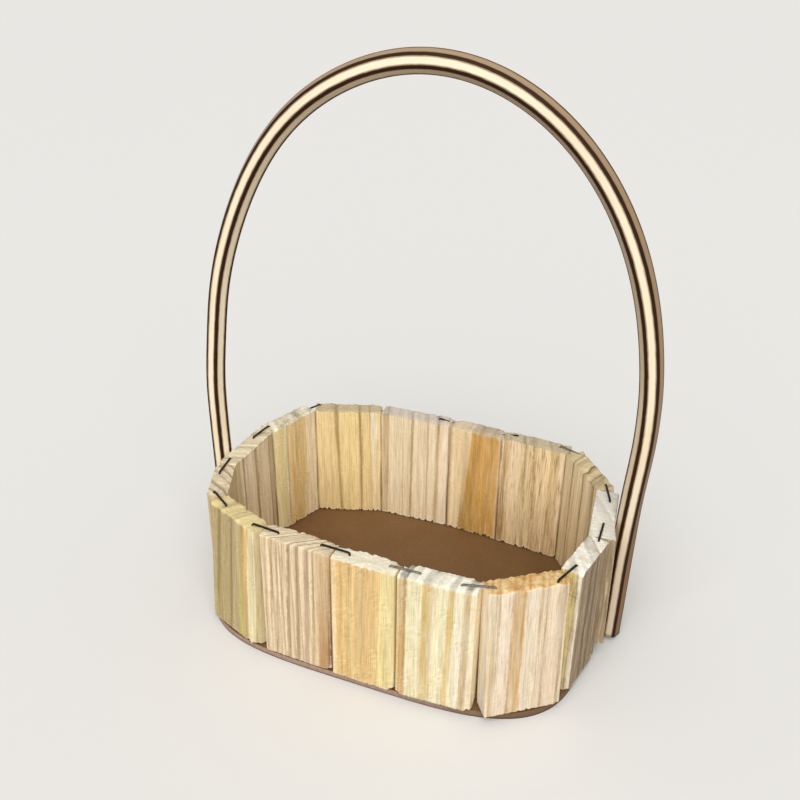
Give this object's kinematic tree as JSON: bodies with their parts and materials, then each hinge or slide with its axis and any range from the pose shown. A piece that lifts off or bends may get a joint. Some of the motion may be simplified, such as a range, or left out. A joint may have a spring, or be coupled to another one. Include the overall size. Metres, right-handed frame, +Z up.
{
  "type": "oval basket",
  "caption": "Small open oval basket of upright pine slats stapled in a ring on a hardboard base, with a tall fixed arched handle.",
  "frame": {"origin": "on the ground, under the middle of the slat ring", "axes": "+X along the basket's length to the right, +Y to the back, +Z up"},
  "size_m": [0.1646, 0.1073, 0.2033],
  "materials": {
    "pine_straw": "raw sawn",
    "pine_honey": "raw sawn",
    "pine_cream": "raw sawn",
    "pine_pink": "raw sawn",
    "hardboard": "matte",
    "staple_wire": "dark",
    "handle_rod": "satin with dark arrises"
  },
  "bodies": {
    "root": {"base_plate": "hardboard", "front_slat_1": "pine_straw", "front_slat_2": "pine_pink", "front_slat_3": "pine_honey", "front_slat_4": "pine_cream", "front_slat_5": "pine_pink", "right_end_slat_1": "pine_straw", "right_end_slat_2": "pine_pink", "right_end_slat_3": "pine_honey", "back_slat_1": "pine_cream", "back_slat_2": "pine_honey", "back_slat_3": "pine_pink", "back_slat_4": "pine_straw", "left_end_slat_1": "pine_straw", "left_end_slat_2": "pine_pink", "left_end_slat_3": "pine_cream", "staple_01": "staple_wire", "staple_02": "staple_wire", "staple_03": "staple_wire", "staple_04": "staple_wire", "staple_05": "staple_wire", "staple_06": "staple_wire", "staple_07": "staple_wire", "staple_08": "staple_wire", "staple_09": "staple_wire", "staple_10": "staple_wire", "staple_11": "staple_wire", "staple_12": "staple_wire", "staple_13": "staple_wire", "staple_14": "staple_wire", "staple_15": "staple_wire", "handle": "handle_rod"}
  },
  "joints": []
}
